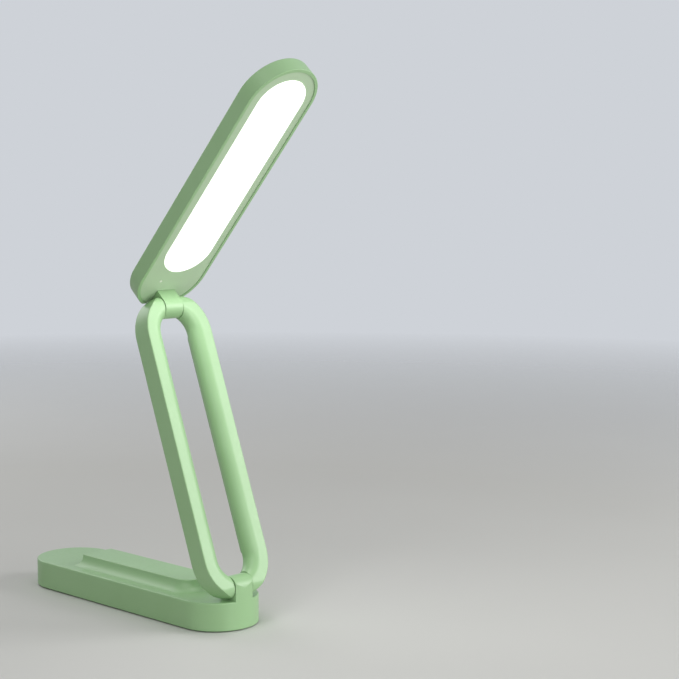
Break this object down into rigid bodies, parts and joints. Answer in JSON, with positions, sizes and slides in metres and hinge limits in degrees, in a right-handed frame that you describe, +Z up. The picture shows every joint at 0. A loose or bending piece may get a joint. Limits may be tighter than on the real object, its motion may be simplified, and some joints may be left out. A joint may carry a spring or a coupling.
{
  "type": "folding desk lamp",
  "caption": "Folding lamp: an oval base, a two-legged arm and a long oval head, joined by friction hinges so that the three fold flat on each other.",
  "frame": {"origin": "on the table under the middle of the base", "axes": "+X from the middle of the base to its hinge end, +Z up, +Y to the side with the charging inlet"},
  "size_m": [0.2256, 0.0476, 0.3182],
  "materials": {
    "shell": "fine satin moulded finish",
    "trim": "satin moulded finish",
    "opal": "opal, diffusing",
    "reflector": "white, matte",
    "lens": "translucent",
    "rubber": "matte, fine grain",
    "wire": "soft insulation",
    "steel": "plain",
    "bronze": "plain",
    "board": "solder mask",
    "battery": "foil pouch"
  },
  "bodies": {
    "base": {"base_shell": "shell", "base_cover": "trim", "rubber_pad": "rubber", "cover_screws": "steel", "ballast_plate": "steel", "battery_cell": "battery", "control_board": "board", "board_screws": "steel", "usb_socket": "steel", "touch_pad": "bronze", "lower_sleeve": "bronze", "lower_washers": "steel"},
    "arm": {"near_leg": "shell", "far_leg": "shell", "near_leg_cover": "trim", "far_leg_cover": "trim", "arm_wires": "wire", "lower_pin": "steel", "upper_pin": "steel"},
    "head": {"head_shell": "shell", "bezel": "shell", "diffuser": "opal", "reflector_frame": "reflector", "led_board": "board", "leds": "reflector", "led_screws": "steel", "status_lens": "lens", "upper_sleeve": "bronze", "upper_washers": "steel"}
  },
  "joints": [
    {"name": "arm_tilt", "type": "hinge", "parent": "base", "child": "arm", "pos_m": [0.0828, 0, 0.0239], "axis": [0, 1, 0], "range_deg": [-69.6, 19.4]},
    {"name": "head_tilt", "type": "hinge", "parent": "arm", "child": "head", "pos_m": [0.02508, 0, 0.17911], "axis": [0, 1, 0], "range_deg": [-2.6, 117.4]}
  ]
}
